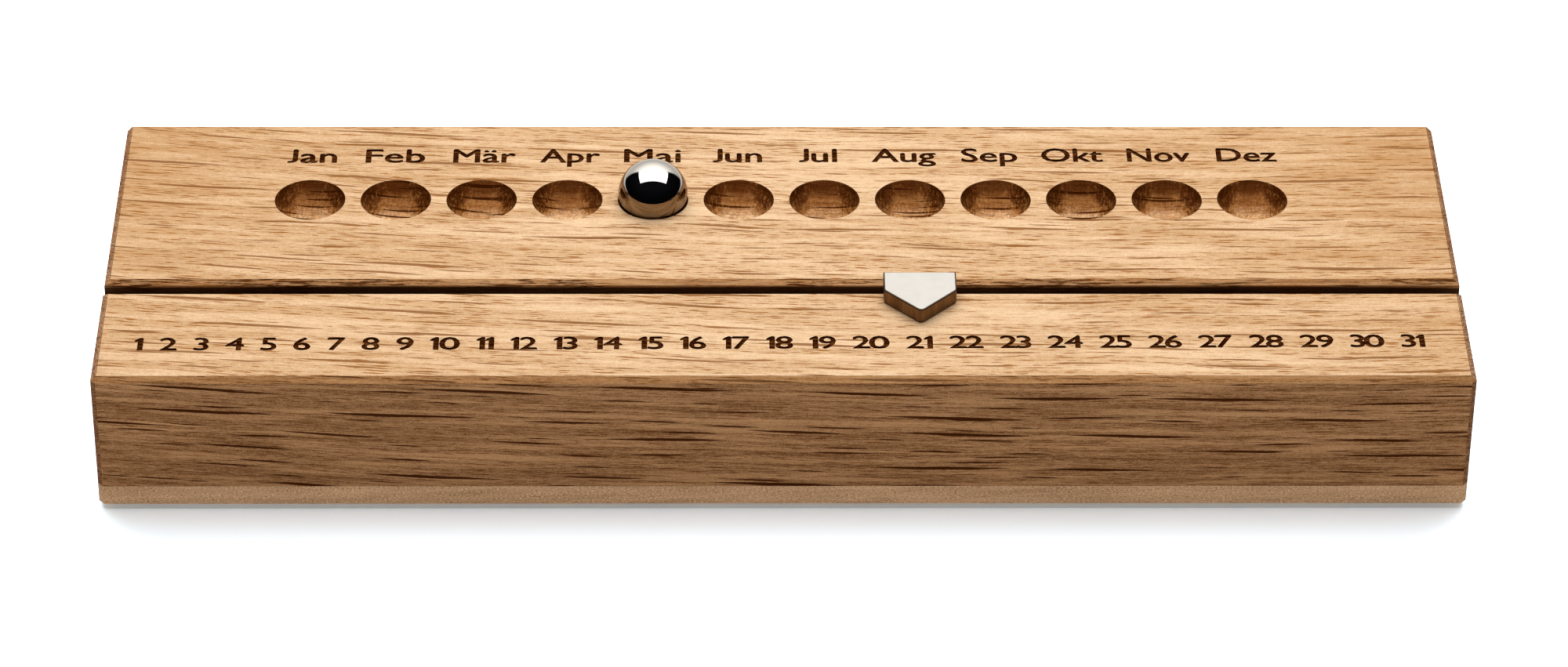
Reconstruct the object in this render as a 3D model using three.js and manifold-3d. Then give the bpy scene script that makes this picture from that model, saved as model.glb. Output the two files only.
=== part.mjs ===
// Perpetual desk calendar: an oak bar on a pale base plate, with twelve seats for a month ball
// and a groove along which a day pointer slides. Millimetres, +Z up. The origin is the middle
// of the footprint, at the level of the desk. The front faces -Y.

import * as THREE from 'three';
import { mergeVertices } from 'three/addons/utils/BufferGeometryUtils.js';
import Module from 'manifold-3d';

const wasm = await Module();
wasm.setup();

// The bar: oak above, a thin pale base plate below, and rubber feet under the plate
const barLength = 270;
const barDepth = 90;
const oakHeight = 26;
const baseHeight = 4.4;
const footHeight = 1.2;

// Broken edges: flat chamfers on the oak and both pieces' upright corners, a round below
const oakChamfer = 1.1;
const cornerChamfer = 1.1;
const baseRound = 1.1;

// Month ball and its row of seats, each left by a ball-nosed cutter
const ballRadius = 7;
const seatEase = 0.4;
const seatDepth = 5.5;
const ballRestGap = 0.15;
const seatCount = 12;
const seatPitch = 17.4;
const seatRowFromRear = 28;
const ballMonth = 5;

// Groove for the pointer, with a chamfered mouth
const grooveFromFront = 31.5;
const grooveWidth = 3.2;
const grooveDepth = 9.5;
const mouthChamfer = 1.1;

// Day pointer: a five-sided plate with a tongue under its rear edge
const pointerWidth = 14.4;
const pointerThickness = 3.2;
const pointerFlank = 6.2;
const tipRadius = 1.1;
const shoulderRadius = 0.4;
const pointerBreak = 0.15;
const pointerFromMiddle = 27.1;
const tongueThickness = 1.8;
const tongueLength = 12;
const tongueRebate = 1;
const tongueSideGap = 0.2;
const tongueFloorGap = 1.5;
const tongueLead = 0.8;

// Rubber feet
const footRadius = 6;
const footInset = 14;
const footBreak = 0.3;

// Fineness of the round forms
const seatSides = 36;
const seatRings = 8;
const ballSides = 36;
const ballRings = 22;
const footSides = 32;
const roundSteps = 5;
const tipSteps = 10;
const shoulderSteps = 3;

// How far a cutting shape runs past what it cuts, and the distance within which points are one
const overrun = 5;
const weld = 1e-4;

// Places worked out from the sizes above
const baseBottom = footHeight;
const seam = baseBottom + baseHeight;
const topFace = seam + oakHeight;
const halfLength = barLength / 2;
const halfDepth = barDepth / 2;
const seatRadius = ballRadius + seatEase;
const seatCentreZ = topFace - seatDepth + seatRadius;
const seatRowY = halfDepth - seatRowFromRear;
const grooveY = grooveFromFront - halfDepth;
const tongueFrontY = grooveY - grooveWidth / 2 + tongueSideGap;
const tongueRearY = tongueFrontY + tongueThickness;
const tongueTop = topFace + tongueRebate;
const tongueBottom = topFace - grooveDepth + tongueFloorGap;

const oakFinish = new THREE.MeshStandardMaterial({ color: 0xd8a671, roughness: 0.6, metalness: 0 });
const mapleFinish = new THREE.MeshStandardMaterial({ color: 0xe6c9a3, roughness: 0.6, metalness: 0 });
const ballFinish = new THREE.MeshStandardMaterial({ color: 0xdcdcdc, roughness: 0.05, metalness: 1 });
const pointerFinish = new THREE.MeshStandardMaterial({ color: 0xd2cfca, roughness: 0.35, metalness: 1 });
const rubberFinish = new THREE.MeshStandardMaterial({ color: 0x2b2b2b, roughness: 0.9, metalness: 0 });

// A closed solid of a three.js geometry: points that meet are made one, and the flat
// triangles that a turned profile leaves at its axis are dropped.
function solidOf(geometry) {
  const bare = geometry.clone();
  bare.deleteAttribute('normal');
  bare.deleteAttribute('uv');
  const merged = mergeVertices(bare, weld);
  const corners = merged.index.array;
  const kept = [];
  for (let i = 0; i < corners.length; i += 3) {
    const [a, b, c] = corners.slice(i, i + 3);
    if (a !== b && b !== c && c !== a) {
      kept.push(a, b, c);
    }
  }
  const vertProperties = new Float32Array(merged.attributes.position.array);
  const triVerts = new Uint32Array(kept);
  return new wasm.Manifold(new wasm.Mesh({ numProp: 3, vertProperties, triVerts }));
}

function geometryOf(solid) {
  const mesh = solid.getMesh();
  const geometry = new THREE.BufferGeometry();
  geometry.setAttribute('position', new THREE.BufferAttribute(new Float32Array(mesh.vertProperties), 3));
  geometry.setIndex(new THREE.BufferAttribute(new Uint32Array(mesh.triVerts), 1));
  geometry.computeVertexNormals();
  return geometry;
}

function meshOf(name, solid, material) {
  const mesh = new THREE.Mesh(geometryOf(solid), material);
  mesh.name = name;
  return mesh;
}

// The three ways that an outline can stand: each takes the outline's own X and Y and the way
// it is drawn out to three row axes that keep the outline's turn.
const alongX = new THREE.Matrix4().makeBasis(
  new THREE.Vector3(0, 1, 0), new THREE.Vector3(0, 0, 1), new THREE.Vector3(1, 0, 0));
const alongY = new THREE.Matrix4().makeBasis(
  new THREE.Vector3(0, 0, 1), new THREE.Vector3(1, 0, 0), new THREE.Vector3(0, 1, 0));
const alongZ = new THREE.Matrix4();

// A straight bar of one outline, from low to high along the way that the outline faces
function drawnOut(outline, way, low, high) {
  const options = { depth: high - low, bevelEnabled: false };
  const geometry = new THREE.ExtrudeGeometry(new THREE.Shape(outline), options);
  geometry.translate(0, 0, low);
  geometry.applyMatrix4(way);
  return solidOf(geometry);
}

// A turned solid about an upright axis, from a profile of radius and height that runs upwards
function turned(profile, sides) {
  const geometry = new THREE.LatheGeometry(profile, sides);
  geometry.rotateX(Math.PI / 2);
  return solidOf(geometry);
}

// Points of an arc round a centre, both ends included
function arcPoints(x, y, radius, fromAngle, toAngle, steps) {
  const points = [];
  for (let i = 0; i <= steps; i += 1) {
    const angle = fromAngle + (toAngle - fromAngle) * i / steps;
    points.push(new THREE.Vector2(x + radius * Math.cos(angle), y + radius * Math.sin(angle)));
  }
  return points;
}

// Footprint shared by the oak and the base plate: a rectangle with its corners cut at 45 degrees
function footprint() {
  const x = halfLength;
  const y = halfDepth;
  const cut = cornerChamfer;
  return [
    new THREE.Vector2(x - cut, -y),
    new THREE.Vector2(x, -y + cut),
    new THREE.Vector2(x, y - cut),
    new THREE.Vector2(x - cut, y),
    new THREE.Vector2(-x + cut, y),
    new THREE.Vector2(-x, y - cut),
    new THREE.Vector2(-x, -y + cut),
    new THREE.Vector2(-x + cut, -y),
  ];
}

// Upright section of the oak over a half width: square below, chamfered above
function oakSection(half) {
  return [
    new THREE.Vector2(-half, seam),
    new THREE.Vector2(half, seam),
    new THREE.Vector2(half, topFace - oakChamfer),
    new THREE.Vector2(half - oakChamfer, topFace),
    new THREE.Vector2(-half + oakChamfer, topFace),
    new THREE.Vector2(-half, topFace - oakChamfer),
  ];
}

// Upright section of the base plate over a half width: rounded below, square above
function baseSection(half) {
  const low = baseBottom + baseRound;
  return [
    ...arcPoints(-half + baseRound, low, baseRound, Math.PI, 1.5 * Math.PI, roundSteps),
    ...arcPoints(half - baseRound, low, baseRound, 1.5 * Math.PI, 2 * Math.PI, roundSteps),
    new THREE.Vector2(half, seam),
    new THREE.Vector2(-half, seam),
  ];
}

// The same section read with its height first, as an outline drawn out along Y needs
function heightFirst(outline) {
  return outline.map((point) => new THREE.Vector2(point.y, point.x)).reverse();
}

// A block that shows one section along its length, the same across its depth, and the footprint
function blockOf(section) {
  const lengthwise = drawnOut(section(halfDepth), alongX, -halfLength, halfLength);
  const across = drawnOut(heightFirst(section(halfLength)), alongY, -halfDepth, halfDepth);
  const upright = drawnOut(footprint(), alongZ, -overrun, topFace + overrun);
  return lengthwise.intersect(across).intersect(upright);
}

// Middle of a seat along the bar, months counted from 1
function seatX(month) {
  return (month - (seatCount + 1) / 2) * seatPitch;
}

// Cutter for one seat: a ball nose, open upwards
function seatCutter(month) {
  const rimAngle = -Math.asin((seatCentreZ - topFace) / seatRadius);
  const nose = arcPoints(0, seatCentreZ, seatRadius, -Math.PI / 2, rimAngle, seatRings);
  nose[0].x = 0;
  const rim = nose[nose.length - 1];
  const shankTop = topFace + overrun;
  const profile = [...nose, new THREE.Vector2(rim.x, shankTop), new THREE.Vector2(0, shankTop)];
  return turned(profile, seatSides).translate([seatX(month), seatRowY, 0]);
}

// Cutter for the groove with its chamfered mouth, past both ends of the bar
function grooveCutter() {
  const wall = grooveWidth / 2;
  const mouth = wall + mouthChamfer;
  const outline = [
    new THREE.Vector2(grooveY - wall, topFace - grooveDepth),
    new THREE.Vector2(grooveY + wall, topFace - grooveDepth),
    new THREE.Vector2(grooveY + wall, topFace - mouthChamfer),
    new THREE.Vector2(grooveY + mouth, topFace),
    new THREE.Vector2(grooveY + mouth, topFace + overrun),
    new THREE.Vector2(grooveY - mouth, topFace + overrun),
    new THREE.Vector2(grooveY - mouth, topFace),
    new THREE.Vector2(grooveY - wall, topFace - mouthChamfer),
  ];
  return drawnOut(outline, alongX, -halfLength - overrun, halfLength + overrun);
}

function oakBlock() {
  let block = blockOf(oakSection).subtract(grooveCutter());
  for (let month = 1; month <= seatCount; month += 1) {
    block = block.subtract(seatCutter(month));
  }
  return block;
}

// The ball, resting just clear of the lowest point of its seat
function monthBall() {
  const geometry = new THREE.SphereGeometry(ballRadius, ballSides, ballRings);
  geometry.rotateX(Math.PI / 2);
  const centreZ = topFace - seatDepth + ballRestGap + ballRadius;
  return solidOf(geometry).translate([seatX(ballMonth), seatRowY, centreZ]);
}

// Outline of the pointer plate: a straight rear edge, two flanks, and two sides at 45 degrees
// that meet in a rounded tip. Short rounds ease the shoulders between flanks and sides.
function pointerOutline() {
  const half = pointerWidth / 2;
  const shoulderY = tongueRearY - pointerFlank;
  const tipCentreY = shoulderY - half + tipRadius * Math.SQRT2;
  const shoulderCentreX = half - shoulderRadius;
  const shoulderCentreY = shoulderY + shoulderRadius * Math.tan(Math.PI / 8);
  const left = 1.25 * Math.PI;
  const right = 1.75 * Math.PI;
  return [
    ...arcPoints(-shoulderCentreX, shoulderCentreY, shoulderRadius, Math.PI, left, shoulderSteps),
    ...arcPoints(0, tipCentreY, tipRadius, left, right, tipSteps),
    ...arcPoints(shoulderCentreX, shoulderCentreY, shoulderRadius, right, 2 * Math.PI, shoulderSteps),
    new THREE.Vector2(half, tongueRearY),
    new THREE.Vector2(-half, tongueRearY),
  ];
}

// Upright section of the tongue across the bar, with a lead on both lower edges
function tongueSection() {
  return [
    new THREE.Vector2(tongueFrontY, tongueBottom + tongueLead),
    new THREE.Vector2(tongueFrontY + tongueLead / 2, tongueBottom),
    new THREE.Vector2(tongueRearY - tongueLead / 2, tongueBottom),
    new THREE.Vector2(tongueRearY, tongueBottom + tongueLead),
    new THREE.Vector2(tongueRearY, tongueTop),
    new THREE.Vector2(tongueFrontY, tongueTop),
  ];
}

function pointerTongue() {
  return drawnOut(tongueSection(), alongX, -tongueLength / 2, tongueLength / 2);
}

// The plate, its edges broken all round, with a rebate in its underside for the tongue's top
function pointerPlate() {
  const plate = new THREE.ExtrudeGeometry(new THREE.Shape(pointerOutline()), {
    depth: pointerThickness - 2 * pointerBreak,
    bevelThickness: pointerBreak,
    bevelSize: pointerBreak,
    bevelOffset: -pointerBreak,
    bevelSegments: 1,
  });
  plate.translate(0, 0, topFace + pointerBreak);
  const rebateDepth = tongueThickness + overrun;
  const rebateHeight = tongueRebate + overrun;
  const rebate = new THREE.BoxGeometry(tongueLength, rebateDepth, rebateHeight);
  rebate.translate(0, tongueFrontY + rebateDepth / 2, tongueTop - rebateHeight / 2);
  return solidOf(plate).subtract(solidOf(rebate));
}

// A foot: a flat disc with a broken lower edge
function rubberFoot() {
  const profile = [
    new THREE.Vector2(0, 0),
    new THREE.Vector2(footRadius - footBreak, 0),
    new THREE.Vector2(footRadius, footBreak),
    new THREE.Vector2(footRadius, footHeight),
    new THREE.Vector2(0, footHeight),
  ];
  return turned(profile, footSides);
}

// The four feet, each inset from its own corner of the bar
function feet() {
  const group = new THREE.Group();
  const footX = halfLength - footInset;
  const footY = halfDepth - footInset;
  for (const [depthWord, ySign] of [['front', -1], ['rear', 1]]) {
    for (const [sideWord, xSign] of [['left', -1], ['right', 1]]) {
      const foot = meshOf(`rubber_foot_${depthWord}_${sideWord}`, rubberFoot(), rubberFinish);
      foot.position.set(xSign * footX, ySign * footY, 0);
      group.add(foot);
    }
  }
  return group;
}

// The pointer stands over one day of the row, its tongue in the groove
function pointer() {
  const group = new THREE.Group();
  group.add(meshOf('pointer_plate', pointerPlate(), pointerFinish));
  group.add(meshOf('pointer_tongue', pointerTongue(), pointerFinish));
  group.position.x = pointerFromMiddle;
  return group;
}

const calendar = new THREE.Group();
calendar.add(meshOf('oak_block', oakBlock(), oakFinish));
calendar.add(meshOf('maple_base', blockOf(baseSection), mapleFinish));
calendar.add(meshOf('month_ball', monthBall(), ballFinish));
calendar.add(pointer());
calendar.add(feet());

export default calendar;
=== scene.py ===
"""Looks of a perpetual desk calendar: an oiled oak bar on a pale plate, with a steel month
ball in one of twelve bowls and a ground steel pointer that runs in a groove.

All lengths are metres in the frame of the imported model, unless a name ends in mm.
"""

import logging
import math
from dataclasses import dataclass
from enum import Enum
from typing import Any, Callable, Iterable, Union

import bmesh
import bpy
from mathutils import Matrix, Vector


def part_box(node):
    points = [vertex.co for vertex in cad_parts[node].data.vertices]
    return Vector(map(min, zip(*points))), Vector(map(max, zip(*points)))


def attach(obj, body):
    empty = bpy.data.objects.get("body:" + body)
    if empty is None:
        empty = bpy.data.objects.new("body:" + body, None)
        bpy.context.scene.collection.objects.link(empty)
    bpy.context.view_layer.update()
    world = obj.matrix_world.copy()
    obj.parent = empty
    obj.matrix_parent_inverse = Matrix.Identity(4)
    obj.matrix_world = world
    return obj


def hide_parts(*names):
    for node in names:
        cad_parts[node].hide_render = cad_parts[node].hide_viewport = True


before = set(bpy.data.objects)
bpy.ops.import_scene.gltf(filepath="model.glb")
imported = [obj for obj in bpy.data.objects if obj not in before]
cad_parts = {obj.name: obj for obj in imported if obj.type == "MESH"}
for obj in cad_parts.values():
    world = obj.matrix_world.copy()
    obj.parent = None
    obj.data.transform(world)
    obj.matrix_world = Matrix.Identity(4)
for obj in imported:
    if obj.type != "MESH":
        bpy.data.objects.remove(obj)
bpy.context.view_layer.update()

LOG = logging.getLogger("calendar")
MM = 0.001
TINY = 1e-6
MIX_BELOW, MIX_ABOVE, MIX_RESULT = 6, 7, 2

Feed = Union["Value", float, tuple]
Colour = tuple[float, float, float, float]


def shade(red: float, green: float, blue: float) -> Colour:
    """A linear colour with full alpha."""
    return (red, green, blue, 1.0)


WHITE = shade(1.0, 1.0, 1.0)
BLACK = shade(0.0, 0.0, 0.0)


@dataclass(frozen=True)
class Pattern:
    """A noise: how fine it is, as one number or as one for each axis, how many finer layers it
    has, how strong those are and, where it has three axes, how far it is moved."""

    scale: Union[float, tuple]
    detail: float = 2.0
    roughness: float = 0.5
    place: tuple = (0.0, 0.0, 0.0)


@dataclass(frozen=True)
class Ramp:
    """A smooth step: where it starts and where it ends, and what it gives at either end."""

    low: float
    high: float
    to_low: float = 0.0
    to_high: float = 1.0


def reckoned(operation: str) -> Callable[["Value", Feed], "Value"]:
    """A method that reckons a value with another by a Math node."""
    return lambda value, other: value.graph.math(operation, value, other)


class Value:
    """A node's output. It can be reckoned with like a number, which adds the nodes for it."""

    __add__ = reckoned("ADD")
    __sub__ = reckoned("SUBTRACT")
    __mul__ = reckoned("MULTIPLY")
    __truediv__ = reckoned("DIVIDE")

    def __init__(self, graph: "Graph", socket: bpy.types.NodeSocket) -> None:
        """Args:
            graph: the nodes that it belongs to.
            socket: the output.
        """
        self.graph = graph
        self.socket = socket

    def __rsub__(self, other: Feed) -> "Value":
        """The difference from a number."""
        return self.graph.math("SUBTRACT", other, self)

    def __abs__(self) -> "Value":
        """The value without its sign."""
        return self.graph.math("ABSOLUTE", self)


class Graph:
    """Adds and links the nodes of one tree, so that a finish reads as a formula."""

    def __init__(self, tree: bpy.types.NodeTree) -> None:
        """Args:
            tree: the node tree that the nodes go into.
        """
        self.tree = tree

    def add(self, kind: str, *fed: Feed, **settings: Any) -> bpy.types.Node:
        """Adds a node.

        Args:
            kind: the node's type name.
            fed: what its inputs get, from the first on.
            settings: properties to set on it.

        Returns:
            The new node.
        """
        node = self.tree.nodes.new(kind)
        for name, value in settings.items():
            setattr(node, name, value)
        for socket, value in zip(node.inputs, fed):
            self.feed(socket, value)
        return node

    def feed(self, socket: bpy.types.NodeSocket, value: Feed) -> None:
        """Links an input to a value, or sets it to a number, a colour or a vector.

        Args:
            socket: the input.
            value: what it gets.
        """
        if isinstance(value, Value):
            self.tree.links.new(value.socket, socket)
        else:
            socket.default_value = value

    def fill(self, node: bpy.types.Node, **values: Feed) -> bpy.types.Node:
        """Feeds some of a node's inputs.

        Args:
            node: the node.
            values: what they get, by name, with _ for a blank.

        Returns:
            The same node.
        """
        for name, value in values.items():
            self.feed(node.inputs[name.replace("_", " ")], value)
        return node

    def made(self, kind: str, *fed: Feed, **settings: Any) -> Value:
        """The first output of a new node."""
        return Value(self, self.add(kind, *fed, **settings).outputs[0])

    def named(self, kind: str, output: str) -> Value:
        """One output of a new node, by its name."""
        return Value(self, self.add(kind).outputs[output])

    def math(self, operation: str, *values: Feed) -> Value:
        """A Math node's result."""
        return self.made("ShaderNodeMath", *values, operation=operation)

    def span(self, value: Feed, low: Feed, high: Feed, to_low: float = 0.0,
             to_high: float = 1.0) -> Value:
        """A smooth step between two limits.

        Args:
            value: what is mapped.
            low: where the step starts.
            high: where it ends.
            to_low: the result at the start.
            to_high: the result at the end.

        Returns:
            The mapped value.
        """
        return self.made("ShaderNodeMapRange", value, low, high, to_low, to_high,
                         interpolation_type="SMOOTHSTEP")

    def ramp(self, value: Value, ramp: Ramp) -> Value:
        """A value mapped by a ramp."""
        return self.span(value, ramp.low, ramp.high, ramp.to_low, ramp.to_high)

    def between(self, share: Value, low: float, high: float) -> Value:
        """What goes from low to high as the share goes from 0 to 1."""
        return share * (high - low) + low

    def blend(self, factor: Feed, below: Feed, above: Feed, kind: str = "MIX") -> Value:
        """A mix of two colours.

        Args:
            factor: how much of the upper colour shows.
            below: the lower colour.
            above: the upper colour.
            kind: the blend type.

        Returns:
            The mixed colour.
        """
        node = self.add("ShaderNodeMix", factor, data_type="RGBA", blend_type=kind)
        self.feed(node.inputs[MIX_BELOW], below)
        self.feed(node.inputs[MIX_ABOVE], above)
        return Value(self, node.outputs[MIX_RESULT])

    def tinted(self, colour: Feed, tint: Feed) -> Value:
        """A colour times another colour, or times a grey value."""
        return self.blend(1.0, colour, tint, "MULTIPLY")

    def split(self, vector: Value) -> list[Value]:
        """The three parts of a vector or a colour."""
        return [Value(self, part) for part in self.add("ShaderNodeSeparateXYZ", vector).outputs]

    def join(self, x: Feed, y: Feed, z: Feed = 0.0) -> Value:
        """A vector of three values."""
        return self.made("ShaderNodeCombineXYZ", x, y, z)

    def mapped(self, vector: Value, scale: tuple, place: tuple = (0.0, 0.0, 0.0),
               turn: tuple = (0.0, 0.0, 0.0)) -> Value:
        """A vector scaled, turned and moved, in that order.

        Args:
            vector: the vector.
            scale: the factor on each axis.
            place: the move.
            turn: the turn about each axis, in radians.

        Returns:
            The new vector.
        """
        return self.made("ShaderNodeMapping", vector, place, turn, scale)

    def noise(self, vector: Value, pattern: Pattern) -> Value:
        """A 3-D noise.

        Args:
            vector: where it is read.
            pattern: how it looks.

        Returns:
            The noise, from 0 to 1.
        """
        scale = pattern.scale
        if isinstance(scale, tuple):
            vector = self.mapped(vector, scale, pattern.place)
            scale = 1.0
        node = self.add("ShaderNodeTexNoise")
        self.fill(node, Vector=vector, Scale=scale, Detail=pattern.detail, Roughness=pattern.roughness)
        return Value(self, node.outputs[0])

    def dice(self, vector: Value) -> list[Value]:
        """Four random values that belong to a point: one by itself and three together."""
        alone, together = self.add("ShaderNodeTexWhiteNoise", vector).outputs
        return [Value(self, alone), *self.split(Value(self, together))]

    def effect(self, kind: "Effect", **values: Feed) -> dict[str, Value]:
        """Places an effect's group in this tree.

        Args:
            kind: the effect.
            values: its inputs by name, with _ for a blank.

        Returns:
            Its outputs by name.
        """
        node = self.fill(self.add("ShaderNodeGroup", node_tree=kind.tree()), **values)
        return {socket.name: Value(self, socket) for socket in node.outputs}


def emptied(owner: Union[bpy.types.Material, bpy.types.World]) -> bpy.types.NodeTree:
    """The node tree of a material or a world, without the nodes that it starts with."""
    owner.use_nodes = True
    owner.node_tree.nodes.clear()
    return owner.node_tree


class SocketKind(Enum):
    """The kinds of socket that an effect may have, by the type that a node's socket gives."""

    VALUE = "NodeSocketFloat"
    VECTOR = "NodeSocketVector"


@dataclass(frozen=True)
class Effect:
    """A shader effect that several finishes use: one node group, built once. Its inputs have
    their usual values here, and its formula gives the outputs by name."""

    name: str
    inputs: dict[str, Union[float, tuple]]
    formula: Callable[..., dict[str, Value]]

    def tree(self) -> bpy.types.NodeTree:
        """The effect's node group, made at the first call.

        Returns:
            The group's tree.
        """
        ready = bpy.data.node_groups.get(self.name)
        if ready is not None:
            return ready
        tree = bpy.data.node_groups.new(self.name, "ShaderNodeTree")
        for name, value in self.inputs.items():
            kind = SocketKind.VECTOR if isinstance(value, tuple) else SocketKind.VALUE
            socket = tree.interface.new_socket(name, in_out="INPUT", socket_type=kind.value)
            socket.default_value = value
        graph = Graph(tree)
        entry = graph.add("NodeGroupInput")
        made = self.formula(graph, *[Value(graph, socket) for socket in entry.outputs if socket.name])
        for name, value in made.items():
            kind = SocketKind[value.socket.type]
            tree.interface.new_socket(name, in_out="OUTPUT", socket_type=kind.value)
        graph.add("NodeGroupOutput", *made.values())
        return tree


@dataclass(frozen=True)
class SpindleShape:
    """How spindles differ from cell to cell: the limits of half their length and of their place
    across, as shares of the cell, and those of their thickness, as shares of the usual one."""

    stagger: float = 17.0
    half_shares: tuple = (0.12, 0.46)
    line_shares: tuple = (0.22, 0.78)
    thick_shares: tuple = (0.40, 1.15)
    core_share: float = 0.55
    edge_share: float = 1.25
    edge_blur_mm: float = 0.012


SHAPE = SpindleShape()


def spindle_formula(graph: Graph, grain: Value, cell_length: Value, cell_width: Value,
                    thickness: Value, presence: Value, lean: Value, seed: Value) -> dict[str, Value]:
    """Thin spindles in staggered cells, each with its own length, place and thickness.

    Args:
        graph: the group's nodes.
        grain: the place, in millimetres along the grain, across it and in depth.
        cell_length: how long a cell is.
        cell_width: how wide a cell is.
        thickness: how thick a spindle is.
        presence: how many of the cells have a spindle.
        lean: how much a spindle may lean.
        seed: which draw this is.

    Returns:
        The mask of the spindles.
    """
    along, across, _ = graph.split(grain)
    rows = across / cell_width
    row = graph.math("FLOOR", rows)
    shift = graph.dice(graph.join(row, seed))[0]
    cells = shift * SHAPE.stagger + along / cell_length
    cell = graph.math("FLOOR", cells)
    chance, size, place, level = graph.dice(graph.join(row, cell, seed))
    half = graph.between(size, *SHAPE.half_shares)
    offset = cells - cell - ((1.0 - half * 2.0) * place + half)
    reach = offset / half
    taper = graph.math("MAXIMUM", 1.0 - reach * reach, 0.0)
    away = (rows - row - graph.between(level, *SHAPE.line_shares)) * cell_width
    away = abs(away + offset * cell_length * ((place - 0.5) * lean))
    thick = graph.between(size, *SHAPE.thick_shares) * thickness * taper
    outside = thick * SHAPE.edge_share + SHAPE.edge_blur_mm
    mask = graph.span(away, thick * SHAPE.core_share, outside, 1.0, 0.0)
    return {"Mask": mask * graph.math("LESS_THAN", chance, presence)}


SPINDLES = Effect(
    "spindles",
    {"Grain": (0.0, 0.0, 0.0), "Cell Length": 20.0, "Cell Width": 4.0, "Thickness": 0.2,
     "Presence": 0.8, "Lean": 0.02, "Seed": 1.0},
    spindle_formula,
)


@dataclass(frozen=True)
class Figure:
    """How the oak's grain lies in the bar. The rays are sheets that run along the bar and lean
    out of the upright, so they show as thin lines on the top and as bolder ones in front."""

    lean_degrees: float = 58.0
    bow: float = 0.000133
    bow_from_mm: float = 100.0
    wander: Pattern = Pattern((0.020, 0.08, 0.02), 1.0)
    wander_mm: float = 1.6
    quiver: Pattern = Pattern((0.14, 0.8, 0.2))
    quiver_mm: float = 0.20


FIGURE = Figure()


def grain_formula(graph: Graph, place: Value, lean: Value) -> dict[str, Value]:
    """Turns a place on the bar into millimetres along the grain, across the rays and in depth.

    Args:
        graph: the group's nodes.
        place: the place, in metres.
        lean: how far the rays lean out of the upright, in radians.

    Returns:
        The grain vector.
    """
    cosine = graph.math("COSINE", lean)
    sine = graph.math("SINE", lean)
    along, depth, height = graph.split(graph.mapped(place, (1 / MM,) * 3))
    left = FIGURE.bow_from_mm - along
    across = height * sine + depth * cosine - left * left * FIGURE.bow
    inward = height * cosine - depth * sine
    straight = graph.join(along, across, inward)
    across = (graph.noise(straight, FIGURE.wander) - 0.5) * FIGURE.wander_mm + across
    across = (graph.noise(straight, FIGURE.quiver) - 0.5) * FIGURE.quiver_mm + across
    return {"Grain": graph.join(along, across, inward)}


GRAIN = Effect("grain", {"Place": (0.0, 0.0, 0.0), "Lean": math.radians(FIGURE.lean_degrees)},
               grain_formula)


@dataclass(frozen=True)
class Mark:
    """One kind of spindle-shaped mark: the size of its cells and its thickness, all in mm, how
    many of the cells have one, which draw it is and how much it may lean."""

    length: float
    width: float
    thickness: float
    presence: float
    seed: float
    lean: float = 0.02

    def mask(self, graph: Graph, grain: Value, spread: Feed = 1.0, boldness: Feed = 1.0) -> Value:
        """Draws the marks.

        Args:
            graph: the nodes that get them.
            grain: the place, in mm along the grain and across it.
            spread: how much further apart than usual they are.
            boldness: how much thicker than usual they are.

        Returns:
            Their mask.
        """
        return graph.effect(SPINDLES, Grain=grain, Cell_Length=self.length,
                            Cell_Width=graph.math("MULTIPLY", spread, self.width),
                            Thickness=graph.math("MULTIPLY", boldness, self.thickness),
                            Presence=self.presence, Lean=self.lean, Seed=self.seed)["Mask"]


@dataclass(frozen=True)
class OakMarks:
    """The marks of planed oak."""

    long_rays: Mark = Mark(36.0, 3.1, 0.24, 0.84, 3.0)
    short_rays: Mark = Mark(20.0, 1.96, 0.17, 0.60, 11.0)
    ray: Ramp = Ramp(0.53, 0.82)
    ragged: Pattern = Pattern((0.45, 6.5, 1.0), 3.0, 0.7)
    ragged_share: float = 0.5
    short_pores: Mark = Mark(4.4, 0.39, 0.086, 0.64, 23.0)
    long_pores: Mark = Mark(8.0, 0.66, 0.108, 0.66, 37.0)
    sparse_share: float = 0.3
    bands: Pattern = Pattern((0.034, 0.80, 0.2), 2.0, 0.55)
    band: Ramp = Ramp(0.40, 0.51)
    streak: Pattern = Pattern((0.022, 0.60, 0.15), 5.0, 0.72)
    fibre: Pattern = Pattern((0.75, 5.5, 1.4), 3.0, 0.75)
    grit: Pattern = Pattern((2.8, 8.0, 3.0), 1.0, 0.6)


OAK = OakMarks()


def oak_formula(graph: Graph, grain: Value, boldness: Value, spread: Value) -> dict[str, Value]:
    """The marks of oak: ray flecks, pore dashes in clusters, soft streaks, fibre and grit.

    Args:
        graph: the group's nodes.
        grain: the grain vector.
        boldness: how thick the rays are.
        spread: how far apart they are.

    Returns:
        One mask for each kind of mark.
    """
    rays = graph.math("MAXIMUM", OAK.long_rays.mask(graph, grain, spread, boldness),
                      OAK.short_rays.mask(graph, grain, spread, boldness))
    ragged = graph.noise(grain, OAK.ragged) * OAK.ragged_share + rays
    pores = graph.math("MAXIMUM", OAK.short_pores.mask(graph, grain),
                       OAK.long_pores.mask(graph, grain))
    bands = graph.ramp(graph.noise(grain, OAK.bands), OAK.band)
    return {"Rays": graph.ramp(ragged, OAK.ray),
            "Pores": pores * graph.between(bands, OAK.sparse_share, 1.0),
            "Bands": bands,
            "Streak": graph.noise(grain, OAK.streak),
            "Fibre": graph.noise(grain, OAK.fibre),
            "Grit": graph.noise(grain, OAK.grit)}


OAK_MARKS = Effect("oak_marks", {"Grain": (0.0, 0.0, 0.0), "Boldness": 1.0, "Spread": 1.0},
                   oak_formula)


@dataclass(frozen=True)
class Coat:
    """The plain numbers of a finish's gloss, and how much its roughness varies in all."""

    roughness: float
    specular: float = 0.5
    metallic: float = 0.0
    swing: float = 0.16


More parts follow.
